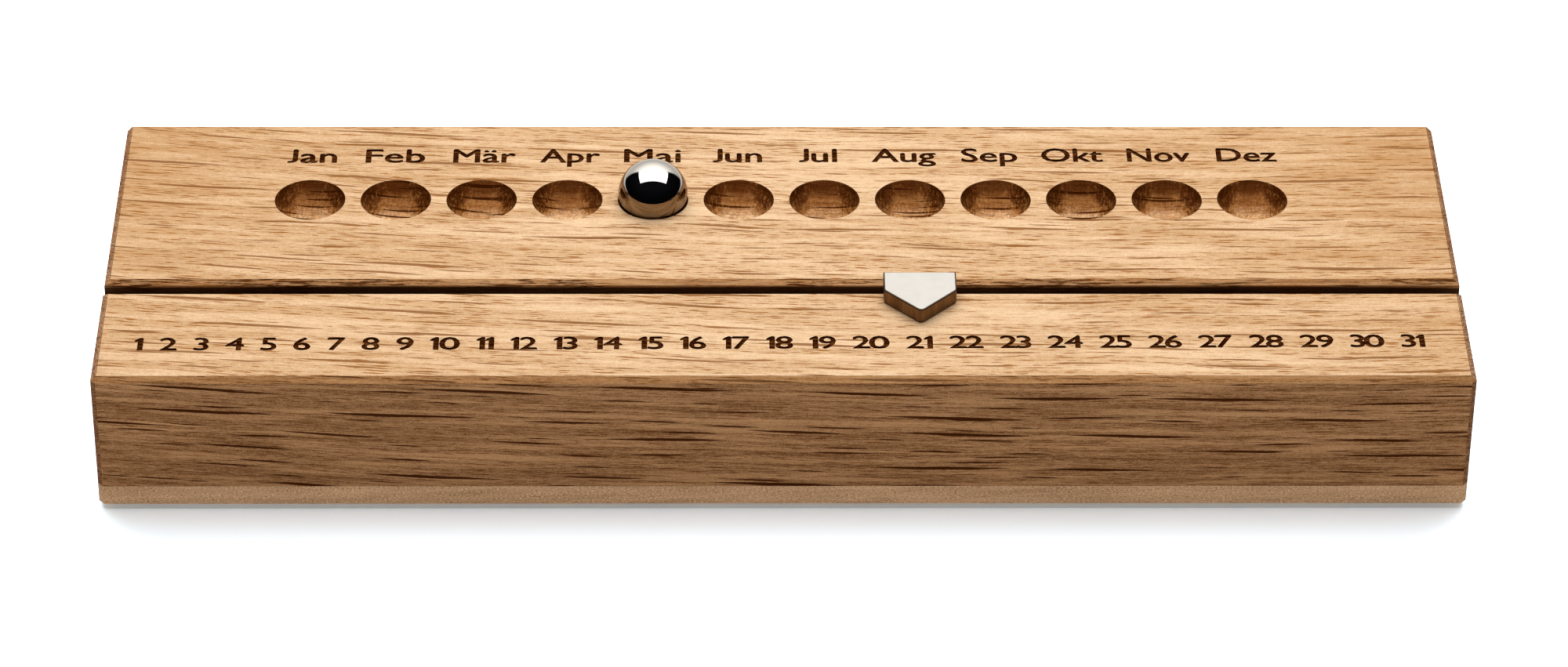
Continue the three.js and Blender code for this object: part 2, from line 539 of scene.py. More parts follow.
class Skin(Graph):
    """The nodes of one material, round a Principled shader."""

    def __init__(self, name: str, coat: Coat) -> None:
        """Args:
            name: the material's name.
            coat: its gloss.
        """
        self.material = bpy.data.materials.new(name)
        super().__init__(emptied(self.material))
        self.coat = coat
        self.shader = self.add("ShaderNodeBsdfPrincipled")
        self.add("ShaderNodeOutputMaterial", Value(self, self.shader.outputs[0]))
        self.paint(Roughness=coat.roughness, Specular_IOR_Level=coat.specular, Metallic=coat.metallic)
        self.place = self.named("ShaderNodeTexCoord", "Object")

    def paint(self, **values: Feed) -> None:
        """Feeds the shader's inputs by name, with _ for a blank."""
        self.fill(self.shader, **values)

    def rough(self, pattern: Value) -> Value:
        """The coat's roughness, varied by a pattern that goes from 0 to 1."""
        half = self.coat.swing / 2
        return self.between(pattern, self.coat.roughness - half, self.coat.roughness + half)

    def relief(self, height: Value, depth: float) -> None:
        """Raises the surface by a height from 0 to 1, where 1 stands for the depth."""
        bump = self.fill(self.add("ShaderNodeBump"), Strength=1.0, Distance=depth, Height=height)
        self.paint(Normal=Value(self, bump.outputs[0]))


@dataclass(frozen=True, kw_only=True)
class Finish:
    """What one kind of face looks like. Each kind of finish paints its own material."""

    name: str
    coat: Coat

    def material(self) -> bpy.types.Material:
        """The finish as a material."""
        skin = Skin(self.name, self.coat)
        self.paint(skin)
        return skin.material

    def paint(self, skin: Skin) -> None:
        """Paints the material; each kind of finish has its own way."""
        raise NotImplementedError


@dataclass(frozen=True, kw_only=True)
class OakFinish(Finish):
    """Oiled oak as it looks on one kind of face. Seen in the polished ball it is painted darker, because
    its oil gloss faces the camera and not the ball: the colour that the camera sees holds a painted sheen."""

    coat: Coat = Coat(0.52, 0.09)
    pale: Colour
    deep: Colour
    ray: Colour
    pore: Colour
    ray_share: float = 0.6
    pore_share: float = 0.5
    boldness: float = 1.0
    spread: float = 1.0
    crowding: float = 1.0
    # Painted shade for reflections: rays from the ball see the colour multiplied by this, without the
    # painted sheen.
    mirrored: Colour = shade(0.50, 0.40, 0.30)
    contrast: float = 0.85
    # Painted sheen: these three numbers paint the ends darker, most at the rear, so that the middle reads
    # paler.
    ends_mm: float = 120.0
    ends_share: float = 0.21
    rear_share: float = 3.0
    lean_degrees: float = FIGURE.lean_degrees
    streak_share: float = 1.1
    fibre_share: float = 1.1
    grit_share: float = 0.9
    band_share: float = 0.20
    usual_tone: float = 0.76
    toned: Ramp = Ramp(0.05, 1.15)
    sheen_gain: float = 3.0
    pore_roughness: float = 0.2
    fibre_height: float = 0.5
    pore_depth: float = 0.8
    relief: float = 0.05 * MM

    def paint(self, skin: Skin) -> None:
        """Paints the wood, its marks, its wear and its painted shade, and lays the oil's sheen on them.

        Args:
            skin: the material's nodes.
        """
        grain = skin.effect(GRAIN, Place=skin.place, Lean=math.radians(self.lean_degrees))["Grain"]
        crowded = skin.mapped(grain, (1.0, self.crowding, self.crowding))
        marks = skin.effect(OAK_MARKS, Grain=crowded, Boldness=self.boldness, Spread=self.spread)
        colour = skin.blend(self.tone(skin, marks), self.deep, self.pale)
        colour = skin.blend(marks["Pores"] * self.pore_share, colour, self.pore)
        colour = skin.blend(marks["Rays"] * self.ray_share, colour, self.ray)
        colour = self.wear(skin, {"Grain": grain, **marks}, colour)
        sheen = skin.math("MINIMUM", skin.split(colour)[1] * self.sheen_gain, 1.0)
        # The camera sees the colour with its painted sheen; rays from the ball see it painted darker.
        glossy = skin.named("ShaderNodeLightPath", "Is Glossy Ray")
        skin.paint(Base_Color=skin.tinted(colour, skin.blend(glossy, WHITE, self.mirrored)),
                   Specular_IOR_Level=sheen * self.coat.specular,
                   Roughness=marks["Pores"] * self.pore_roughness + skin.rough(marks["Fibre"]))
        skin.relief(marks["Fibre"] * self.fibre_height - marks["Pores"] * self.pore_depth, self.relief)

    def tone(self, skin: Skin, marks: dict[str, Value]) -> Value:
        """How pale the wood is between its marks. The bar's ends are painted deeper, most so at the rear, as
        painted shade round a painted sheen in the middle.

        Args:
            skin: the material's nodes.
            marks: the masks of the wood's marks.

        Returns:
            The paleness from 0 to 1.
        """
        fine = marks["Streak"] * self.streak_share + marks["Fibre"] * self.fibre_share
        fine = fine + marks["Grit"] * self.grit_share
        usual = (self.streak_share + self.fibre_share + self.grit_share) / 2
        along, depth, _ = skin.split(skin.place)
        along = along / (self.ends_mm * MM)
        # Painted sheen: darker towards the ends and the rear.
        ends = along * along * (depth * self.rear_share + self.ends_share)
        tone = fine * self.contrast - marks["Bands"] * self.band_share - ends
        return skin.ramp(tone - (usual * self.contrast - self.usual_tone), self.toned)

    def wear(self, skin: Skin, wood: dict[str, Value], colour: Value) -> Value:
        """What this face's making, and painted shade, do to the colour; a planed face keeps it.

        Args:
            skin: the material's nodes; not used.
            wood: the grain, and the masks of the wood's marks; not used.
            colour: the wood's colour.

        Returns:
            The colour that shows.
        """
        return colour


@dataclass(frozen=True, kw_only=True)
class EndOakFinish(OakFinish):
    """Oak cut across the grain, darker and pitted with the ends of its pores."""

    darkening: Colour = shade(0.46, 0.36, 0.31)
    rubbed: Colour = shade(0.72, 0.60, 0.57)
    pit: Colour = shade(0.075, 0.022, 0.008)
    pits: Pattern = Pattern(1.0, 2.0, 0.7)
    pit_scale: tuple = (1.6, 2.6, 0.9)
    pit_turn: tuple = (0.6, 0.0, 0.0)
    pitted: Ramp = Ramp(0.47, 0.60, 0.0, 0.72)
    shoulder: float = 30.5 * MM
    above_shoulder: Ramp = Ramp(-0.2 * MM, 0.1 * MM)

    def wear(self, skin: Skin, wood: dict[str, Value], colour: Value) -> Value:
        """Darkens the face, less so on its upper chamfer, and pits it.

        Args:
            skin: the material's nodes.
            wood: the grain, and the masks of the wood's marks.
            colour: the wood's colour.

        Returns:
            The darker colour.
        """
        pits = skin.noise(skin.mapped(wood["Grain"], self.pit_scale, turn=self.pit_turn), self.pits)
        upper = skin.ramp(skin.split(skin.place)[2] - self.shoulder, self.above_shoulder)
        colour = skin.tinted(colour, skin.blend(upper, self.darkening, self.rubbed))
        return skin.blend(skin.ramp(pits, self.pitted), colour, self.pit)


@dataclass(frozen=True, kw_only=True)
class BowlOakFinish(OakFinish):
    """Oak turned into a bowl by a round cutter, with torn speckles, fine rings and painted shade that
    darkens its rear wall and flanks. Ramps over a place in the bowl are in mm from its middle."""

    pitch: float = 17.4 * MM
    row: float = 17.0 * MM
    first: float = -95.7 * MM
    # Painted light and shade: the first of these three colours paints the near slope paler, the next darkens
    # the wall further back, the last darkens the rear wall most.
    floor: Colour = shade(1.15, 1.06, 0.95)
    slope: Colour = shade(0.70, 0.455, 0.235)
    rear: Colour = shade(0.29, 0.150, 0.065)
    burn: Colour = shade(0.060, 0.014, 0.001)
    chip: Colour = shade(0.66, 0.31, 0.090)
    rings: Pattern = Pattern(1.0, 2.0, 0.6)
    rings_each_mm: float = 2.6
    speckle: Pattern = Pattern((2300.0, 1000.0, 1000.0), 3.0, 0.75)
    scratch: Pattern = Pattern((1900.0, 700.0, 700.0), 3.0, 0.7)
    flank: Ramp = Ramp(2.2, 5.6)
    flank_lead_mm: float = 4.2
    sloping: Ramp = Ramp(1.2, 4.4)
    steep: Ramp = Ramp(4.8, 6.4)
    side_burn: Ramp = Ramp(3.6, 6.8, 0.0, 0.55)
    ringed: Ramp = Ramp(0.45, 0.62, 0.0, 0.35)
    ringed_floor: float = 0.4
    torn: Ramp = Ramp(0.49, 0.55, 0.0, 0.70)
    torn_floor: float = 0.38
    ray_burn: float = 0.92
    scratched: Ramp = Ramp(0.50, 0.66, 0.0, 0.28)
    chipped: Ramp = Ramp(0.43, 0.39, 0.0, 0.34)
    chips_from: Ramp = Ramp(0.8, 3.2)
    rim: Ramp = Ramp(6.3, 7.1, 0.0, 0.65)
    rim_from: Ramp = Ramp(3.0, 5.0)

    def wear(self, skin: Skin, wood: dict[str, Value], colour: Value) -> Value:
        """Darkens the bowls with painted shade, most up the rear wall and the flanks, makes the near slope
        paler with painted light, and scorches them where the cutter met end grain.

        Args:
            skin: the material's nodes.
            wood: the grain, and the masks of the wood's marks.
            colour: the wood's colour.

        Returns:
            The darker colour.
        """
        along, depth, _ = skin.split(skin.place)
        count = (along - (self.first - self.pitch / 2)) / self.pitch
        side_mm = (skin.math("FRACT", count) - 0.5) * (self.pitch / MM)
        depth_mm = (depth - self.row) / MM
        radius = skin.math("SQRT", side_mm * side_mm + depth_mm * depth_mm)
        off = abs(side_mm)
        flank = skin.ramp(off, self.flank)
        rear = flank * self.flank_lead_mm + depth_mm
        # Painted shade: paler on the near slope, darker up the rear wall and the flanks.
        shading = skin.blend(skin.ramp(rear, self.sloping), self.floor, self.slope)
        colour = skin.tinted(colour, skin.blend(skin.ramp(rear, self.steep), shading, self.rear))
        rings = skin.noise(skin.join(radius * self.rings_each_mm, count), self.rings)
        speckle = skin.noise(skin.place, self.speckle)
        scratch = skin.noise(skin.place, self.scratch)
        for burnt in (skin.ramp(off, self.side_burn),
                      skin.between(flank, self.ringed_floor, 1.0) * skin.ramp(rings, self.ringed),
                      skin.between(flank, self.torn_floor, 1.0) * skin.ramp(speckle, self.torn),
                      wood["Rays"] * self.ray_burn,
                      skin.ramp(scratch, self.scratched)):
            colour = skin.blend(burnt, colour, self.burn)
        chips = skin.ramp(off, self.chips_from) * skin.ramp(speckle, self.chipped)
        colour = skin.blend(chips, colour, self.chip)
        rim = skin.ramp(off, self.rim_from) * skin.ramp(radius, self.rim)
        return skin.blend(rim, colour, self.burn)


@dataclass(frozen=True, kw_only=True)
class GrooveOakFinish(OakFinish):
    """Sawn oak in the groove, with torn streaks that the blade has scorched, and the slot below its lip
    painted nearly black as painted shade.
    """

    # This colour paints both the scorched streaks and, below the lip, painted shade in the slot.
    scorch: Colour = shade(0.058, 0.027, 0.0095)
    darkening: Colour = shade(0.96, 0.80, 0.62)
    tear: Colour = shade(0.095, 0.024, 0.002)
    split: Colour = shade(0.74, 0.47, 0.25)
    streaks: Pattern = Pattern((70.0, 900.0, 900.0), 3.0, 0.6)
    fields: Pattern = Pattern((16.0, 40.0, 40.0), place=(3.1, 0.0, 0.0))
    tears: Pattern = Pattern((150.0, 2800.0, 2800.0), 4.0, 0.68)
    splinters: Pattern = Pattern((130.0, 3100.0, 3100.0), 3.0, 0.7, (5.0, 0.0, 0.0))
    spots: Pattern = Pattern((34.0, 300.0, 300.0), 1.0, place=(7.7, 0.0, 0.0))
    streaked: Ramp = Ramp(0.90, 0.97, 0.0, 0.70)
    field_share: float = 0.7
    torn: Ramp = Ramp(0.61, 0.65, 0.0, 0.92)
    splintered: Ramp = Ramp(0.56, 0.62, 0.0, 0.60)
    spotted: Ramp = Ramp(0.46, 0.60, 0.0, 0.14)
    below_lip: Ramp = Ramp(-0.3 * MM, 0.1 * MM, 0.90, 0.0)
    ragged: float = 1.6 * MM
    lip: float = 30.5 * MM

    def wear(self, skin: Skin, wood: dict[str, Value], colour: Value) -> Value:
        """Lays scorched streaks along the groove, and paints the slot below its lip nearly black as painted
        shade.

        Args:
            skin: the material's nodes.
            wood: the grain, and the masks of the wood's marks; not used.
            colour: the wood's colour.

        Returns:
            The scorched colour, with painted shade in the slot.
        """
        patterns = (self.streaks, self.fields, self.tears, self.splinters, self.spots)
        streaks, fields, tears, splinters, spots = [skin.noise(skin.place, each) for each in patterns]
        tears = skin.ramp(spots, self.spotted) + tears
        colour = skin.tinted(colour, self.darkening)
        colour = skin.blend(skin.ramp(tears, self.torn), colour, self.tear)
        colour = skin.blend(skin.ramp(splinters, self.splintered), colour, self.split)
        height = skin.split(skin.place)[2] - fields * self.ragged - (self.lip - self.ragged / 2)
        # Painted shade: the slot below the lip is painted nearly black.
        inside = skin.ramp(height, self.below_lip)
        streaked = skin.ramp(fields * self.field_share + streaks, self.streaked)
        return skin.blend(skin.math("MAXIMUM", streaked, inside), colour, self.scorch)


@dataclass(frozen=True, kw_only=True)
class ScorchFinish(Finish):
    """Laser-burnt lettering: nearly black, with the grain showing as paler stripes."""

    name: str = "scorched_oak"
    coat: Coat = Coat(0.9, 0.0)
    char: Colour = shade(0.019, 0.0022, 0.0001)
    stripe: Colour = shade(0.210, 0.074, 0.018)
    stripes: Pattern = Pattern((0.22, 4.6, 1.0), 3.0, 0.65)
    grit: Pattern = Pattern((1.6, 5.0, 3.0), 2.0, 0.6)
    striped: Ramp = Ramp(0.50, 0.62, 0.0, 0.44)
    gritty: Ramp = Ramp(0.4, 0.7, 0.0, 0.176)
    relief: float = 0.06 * MM

    def paint(self, skin: Skin) -> None:
        """Paints the char and its stripes.

        Args:
            skin: the material's nodes.
        """
        grain = skin.effect(GRAIN, Place=skin.place)["Grain"]
        stripes = skin.noise(grain, self.stripes)
        grit = skin.noise(grain, self.grit)
        level = skin.ramp(grit, self.gritty) + skin.ramp(stripes, self.striped)
        skin.paint(Base_Color=skin.blend(level, self.char, self.stripe))
        skin.relief(grit, self.relief)


@dataclass(frozen=True, kw_only=True)
class PaleWoodFinish(Finish):
    """Oiled maple: pale, with fine wavy flecks that lean."""

    name: str = "oiled_maple"
    coat: Coat = Coat(0.5, 0.15)
    pale: Colour = shade(0.88, 0.615, 0.405)
    deep: Colour = shade(0.39, 0.235, 0.128)
    fleck: Colour = shade(0.30, 0.160, 0.075)
    flecks: Mark = Mark(1.9, 0.42, 0.07, 0.75, 53.0, 0.1)
    fleck_share: float = 0.40
    turn_degrees: float = 3.0
    waves: Pattern = Pattern((0.10, 0.2, 0.25))
    wave_mm: float = 3.0
    streak: Pattern = Pattern((0.045, 0.3, 0.8), 3.0, 0.6)
    fine: Pattern = Pattern((2.1, 3.0, 5.2), 2.0, 0.7)
    streak_gain: float = 1.2
    fine_gain: float = 3.4
    tone_shift: float = 1.8
    relief: float = 0.03 * MM

    def paint(self, skin: Skin) -> None:
        """Paints the wood and its flecks.

        Args:
            skin: the material's nodes.
        """
        turn = (0.0, math.radians(self.turn_degrees), 0.0)
        turned_mm = skin.mapped(skin.place, (1 / MM,) * 3, turn=turn)
        along, depth, height = skin.split(turned_mm)
        height = skin.noise(turned_mm, self.waves) * self.wave_mm + height
        wavy = skin.join(along, depth, height)
        streak = skin.noise(wavy, self.streak)
        fine = skin.noise(wavy, self.fine)
        flecks = self.flecks.mask(skin, skin.join(along, height, depth))
        tone = fine * self.fine_gain + streak * self.streak_gain - self.tone_shift
        colour = skin.blend(tone, self.deep, self.pale)
        skin.paint(Base_Color=skin.blend(flecks * self.fleck_share, colour, self.fleck),
                   Roughness=skin.rough(fine))
        skin.relief(fine, self.relief)


@dataclass(frozen=True, kw_only=True)
class PolishedSteelFinish(Finish):
    """Mirror-polished steel with hardly visible handling marks."""

    name: str = "polished_steel"
    coat: Coat = Coat(0.02, 0.5, 1.0)
    colour: Colour = shade(0.53, 0.50, 0.46)
    clouds: Pattern = Pattern(260.0, 3.0, 0.6)
    tint_ends: tuple = (0.95, 1.05)
    gloss: Ramp = Ramp(0.45, 0.75, 0.012, 0.045)

    def paint(self, skin: Skin) -> None:
        """Clouds the colour and the gloss a little."""
        clouds = skin.noise(skin.place, self.clouds)
        skin.paint(Base_Color=skin.tinted(self.colour, skin.between(clouds, *self.tint_ends)),
                   Roughness=skin.ramp(clouds, self.gloss))


@dataclass(frozen=True, kw_only=True)
class GroundSteelFinish(Finish):
    """Steel ground on a fine belt: satin, with faint lines and soft clouds."""

    name: str = "ground_steel"
    coat: Coat = Coat(0.34, 0.5, 0.75, 0.12)
    colour: Colour = shade(0.475, 0.455, 0.425)
    lines: Pattern = Pattern((220.0, 5200.0, 5200.0), 3.0, 0.65)
    clouds: Pattern = Pattern(420.0, 3.0, 0.55)
    lining: float = 0.10
    clouding: float = 0.16
    relief: float = 0.004 * MM

    def paint(self, skin: Skin) -> None:
        """Paints the belt's lines and the clouds.

        Args:
            skin: the material's nodes.
        """
        lines = skin.noise(skin.place, self.lines)
        clouds = skin.noise(skin.place, self.clouds)
        low = 1.0 - (self.clouding + self.lining) / 2
        tint = clouds * self.clouding + (lines * self.lining + low)
        skin.paint(Base_Color=skin.tinted(self.colour, tint), Roughness=skin.rough(lines))
        skin.relief(lines, self.relief)


@dataclass(frozen=True, kw_only=True)
class RubberFinish(Finish):
    """Matt black rubber with a fine grain and a little dust."""

    name: str = "matt_rubber"
    coat: Coat = Coat(0.82, 0.3)
    dark: Colour = shade(0.018, 0.018, 0.019)
    dusty: Colour = shade(0.055, 0.053, 0.050)
    dust: Pattern = Pattern(600.0, 3.0, 0.6)
    dusted: Ramp = Ramp(0.45, 0.75)
    grain: Pattern = Pattern(5200.0, 2.0, 0.6)
    relief: float = 0.02 * MM

    def paint(self, skin: Skin) -> None:
        """Dusts the rubber and grains it."""
        dust = skin.noise(skin.place, self.dust)
        skin.paint(Base_Color=skin.blend(skin.ramp(dust, self.dusted), self.dark, self.dusty),
                   Roughness=skin.rough(dust))
        skin.relief(skin.noise(skin.place, self.grain), self.relief)


def box_mesh(low: Vector, high: Vector) -> bmesh.types.BMesh:
    """A box between two corners.

    Args:
        low: its lowest corner.
        high: its highest corner.

    Returns:
        The mesh being modelled.
    """
    mesh = bmesh.new()
    bmesh.ops.create_cube(mesh, size=1.0)
    bmesh.ops.scale(mesh, vec=high - low, verts=mesh.verts)
    move(mesh, (low + high) / 2)
    return mesh


def move(mesh: bmesh.types.BMesh, way: Iterable[float]) -> None:
    """Moves a whole mesh."""
    bmesh.ops.translate(mesh, vec=way, verts=mesh.verts)


def stretch(mesh: bmesh.types.BMesh, wider: float, taller: float = 1.0) -> None:
    """Scales a whole mesh from the origin, along X and along Y."""
    bmesh.ops.scale(mesh, vec=(wider, taller, 1.0), verts=mesh.verts)


def reach(mesh: bmesh.types.BMesh, axis: int) -> tuple[float, float]:
    """How far a mesh reaches along an axis, to either side."""
    places = [vert.co[axis] for vert in mesh.verts]
    return min(places), max(places)


def width_of(mesh: bmesh.types.BMesh) -> float:
    """How wide a mesh is along X."""
    left, right = reach(mesh, 0)
    return right - left


def bevelled(mesh: bmesh.types.BMesh, parts: Iterable, size: float, segments: int = 1,
             affect: str = "EDGES") -> None:
    """Bevels some edges or corners of a mesh.

    Args:
        mesh: the mesh being modelled.
        parts: the edges or the corners.
        size: how far the bevel reaches along each face.
        segments: 1 for a chamfer, more for a round.
        affect: "EDGES" or "VERTICES".
    """
    bmesh.ops.bevel(mesh, geom=list(parts), offset=size, offset_type="OFFSET", segments=segments,
                    profile=0.5, affect=affect, material=-1, clamp_overlap=True)


def lowest(mesh: bmesh.types.BMesh, floor: float) -> list[bmesh.types.BMEdge]:
    """The edges that lie in a mesh's underside, at the height of its floor."""
    return [edge for edge in mesh.edges if max(vert.co.z for vert in edge.verts) < floor + TINY]


def climb(edge: bmesh.types.BMEdge) -> float:
    """How much an edge rises from one end to the other."""
    return abs(edge.verts[0].co.z - edge.verts[1].co.z)


def flat(outline: Iterable[Vector]) -> bmesh.types.BMesh:
    """A mesh with one face, from the face's corners in order."""
    mesh = bmesh.new()
    mesh.faces.new([mesh.verts.new(corner) for corner in outline])
    return mesh


def drawn(mesh: bmesh.types.BMesh, way: Vector) -> bmesh.types.BMesh:
    """Draws a flat mesh out into a straight bar.

    Args:
        mesh: the flat mesh.
        way: how far it is drawn out, and which way.

    Returns:
        The same mesh, closed and facing out.
    """
    grown = bmesh.ops.extrude_face_region(mesh, geom=mesh.faces[:])
    moved = [item for item in grown["geom"] if isinstance(item, bmesh.types.BMVert)]
    bmesh.ops.translate(mesh, vec=way, verts=moved)
    bmesh.ops.recalc_face_normals(mesh, faces=mesh.faces)
    return mesh


def in_scene(name: str, data: Any) -> bpy.types.Object:
    """A new object in the scene, at the origin.

    Args:
        name: its name.
        data: its mesh, curve, camera or light.

    Returns:
        The object.
    """
    made = bpy.data.objects.new(name, data)
    bpy.context.scene.collection.objects.link(made)
    return made


def to_object(mesh: bmesh.types.BMesh, name: str) -> bpy.types.Object:
    """Ends a mesh and puts it in the scene, at the origin.

    Args:
        mesh: the mesh being modelled, which is freed.
        name: the object's name.

    Returns:
        The object.
    """
    data = bpy.data.meshes.new(name)
    mesh.to_mesh(data)
    mesh.free()
    return in_scene(name, data)


def to_mesh(data: bpy.types.Mesh) -> bmesh.types.BMesh:
    """A mesh as one that can be modelled further."""
    mesh = bmesh.new()
    mesh.from_mesh(data)
    return mesh


def settled(made: bpy.types.Object) -> bpy.types.Mesh:
    """A new mesh of an object as its modifiers or its curve leave it."""
    graph = bpy.context.evaluated_depsgraph_get()
    return bpy.data.meshes.new_from_object(made.evaluated_get(graph))


def drop(made: bpy.types.Object) -> None:
    """Deletes a helper object and its mesh."""
    data = made.data
    bpy.data.objects.remove(made)
    bpy.data.meshes.remove(data)


def cut(body: bpy.types.Object, tool: bpy.types.Object, operation: str = "DIFFERENCE") -> None:
    """Cuts one object by another, or joins them, applies this and deletes the tool.

    Args:
        body: the object that is cut.
        tool: the object that cuts.
        operation: "DIFFERENCE" to cut, "UNION" to join.
    """
    modifier = body.modifiers.new("cut", "BOOLEAN")
    modifier.operation = operation
    modifier.solver = "EXACT"
    modifier.object = tool
    result = settled(body)
    body.modifiers.clear()
    old = body.data
    body.data = result
    result.name = body.name
    bpy.data.meshes.remove(old)
    drop(tool)


def append(whole: bmesh.types.BMesh, part: bmesh.types.BMesh) -> None:
    """Adds one mesh to another and frees it.

    Args:
        whole: the mesh that grows.
        part: the mesh that is added.
    """
    data = bpy.data.meshes.new("part")
    part.to_mesh(data)
    part.free()
    whole.from_mesh(data)
    bpy.data.meshes.remove(data)


def dress(made: bpy.types.Object, *materials: bpy.types.Material) -> None:
    """Gives an object its materials, in the order of its slots."""
    made.data.materials.clear()
    for material in materials:
        made.data.materials.append(material)


def report(made: bpy.types.Object, body: str, slot: str, *nodes: str) -> None:
    """Puts a finished piece on its body and in the place of its nodes.

    Args:
        made: the piece.
        body: the body that it moves with.
        slot: the name of its material slot; not used.
        nodes: the nodes that it stands for.
    """
    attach(made, body)
    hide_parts(*nodes)
    LOG.info("%s: %d faces on %s", made.name, len(made.data.polygons), body)


@dataclass
class Lettering:
    """Typesets the months and the days and turns them into solids that cut the oak."""

    cap: float = 4.05 * MM
    month_cap: float = 4.75 * MM
    cap_share: float = 0.682
    day_stretch: float = 1.25
    zero_stretch: float = 1.46
    widen: float = 0.155 * MM
    heighten: float = 0.11 * MM
    digit_gap: float = 0.02 * MM
    one_gap: float = 0.34 * MM
    one_stem: float = 0.80 * MM
    one_flag: float = 0.62 * MM
    one_slant: float = 0.35
    flag_shares: tuple = (0.84, 0.70, 0.82)
    depth: float = 0.30 * MM
    above: float = 0.20 * MM
    curve_steps: int = 3
    hook_stretch: float = 0.92
    hook_gap: float = 0.62 * MM

    def word(self, letters: str, cap: float, wider: float = 1.0) -> bmesh.types.BMesh:
        """A word as a flat-ended solid, with its left end at 0 and its baseline on y = 0.

        Args:
            letters: the word.
            cap: the height of a capital.
            wider: how much wider it is than the font draws it.

        Returns:
            The mesh being modelled, from z = 0 to depth + above.
        """
        half = (self.depth + self.above) / 2
        curve = bpy.data.curves.new("word", "FONT")
        curve.body = letters
        curve.size = cap / self.cap_share
        curve.resolution_u = self.curve_steps
        curve.extrude = half
        typed = in_scene("word", curve)
        bpy.context.view_layer.update()
        data = settled(typed)
        mesh = to_mesh(data)
        bpy.data.objects.remove(typed)
        bpy.data.curves.remove(curve)
        bpy.data.meshes.remove(data)
        bmesh.ops.remove_doubles(mesh, verts=mesh.verts, dist=0.5 * TINY)
        move(mesh, (-reach(mesh, 0)[0], 0.0, half))
        stretch(mesh, wider)
        return mesh

    def bold(self, thin: bmesh.types.BMesh) -> bmesh.types.BMesh:
        """Makes each stroke bolder: three copies, a little apart, joined into one solid.

        Args:
            thin: the mesh being modelled, which is freed.

        Returns:
            The bold mesh.
        """
        copies = []
        for side, rise in ((-1, -1), (1, -1), (0, 1)):
            copy = thin.copy()
            move(copy, (side * self.widen, rise * self.heighten, 0.0))
            copies.append(to_object(copy, "bold_letters"))
        thin.free()
        body, *others = copies
        for other in others:
            cut(body, other, "UNION")
        mesh = to_mesh(body.data)
        drop(body)
        return mesh

    def name(self, letters: str) -> bmesh.types.BMesh:
        """A month's name, with a J that stands on the line.

        Args:
            letters: the name.

        Returns:
            The mesh being modelled, with its left end at 0.
        """
        if not letters.startswith("J"):
            return self.word(letters, self.month_cap)
        whole = self.word("J", self.month_cap)
        below, top = reach(whole, 1)
        move(whole, (0.0, -below, 0.0))
        stretch(whole, self.hook_stretch, top / (top - below))
        rest = self.word(letters[1:], self.month_cap)
        move(rest, (reach(whole, 0)[1] + self.hook_gap, 0.0, 0.0))
        append(whole, rest)
        return whole

    def one(self) -> bmesh.types.BMesh:
        """The digit 1: an upright stem with a short flag.

        Returns:
            The mesh being modelled, from z = 0 to depth + above.
        """
        flag, right = self.one_flag, self.one_flag + self.one_stem
        tip, foot, joint = [share * self.cap for share in self.flag_shares]
        corners = [(flag, 0.0), (right, 0.0), (right, self.cap),
                   (flag + self.one_slant * self.one_stem, self.cap), (0.0, tip), (0.0, foot),
                   (flag, joint)]
        outline = [Vector((x, y, 0.0)) for x, y in corners]
        return drawn(flat(outline), Vector((0.0, 0.0, self.depth + self.above)))

    def number(self, value: int) -> bmesh.types.BMesh:
        """A day's number, digit by digit.

        Args:
            value: the day.

        Returns:
            The mesh being modelled, with its left end at 0.
        """
        whole = bmesh.new()
        pen = 0.0
        gap = self.one_gap if "1" in str(value) else self.digit_gap
        for digit in str(value):
            wider = self.zero_stretch if digit == "0" else self.day_stretch
            part = self.one() if digit == "1" else self.word(digit, self.cap, wider)
            move(part, (pen, 0.0, 0.0))
            pen = reach(part, 0)[1] + gap
            append(whole, part)
        return whole


class OakFace(Enum):
    """The kinds of face that the oak bar has, in the order of its material slots."""

    TOP = 0
    CHAMFER = 1
    SIDE = 2
    END = 3
    BOWL = 4
    GROOVE = 5
    SCORCH = 6


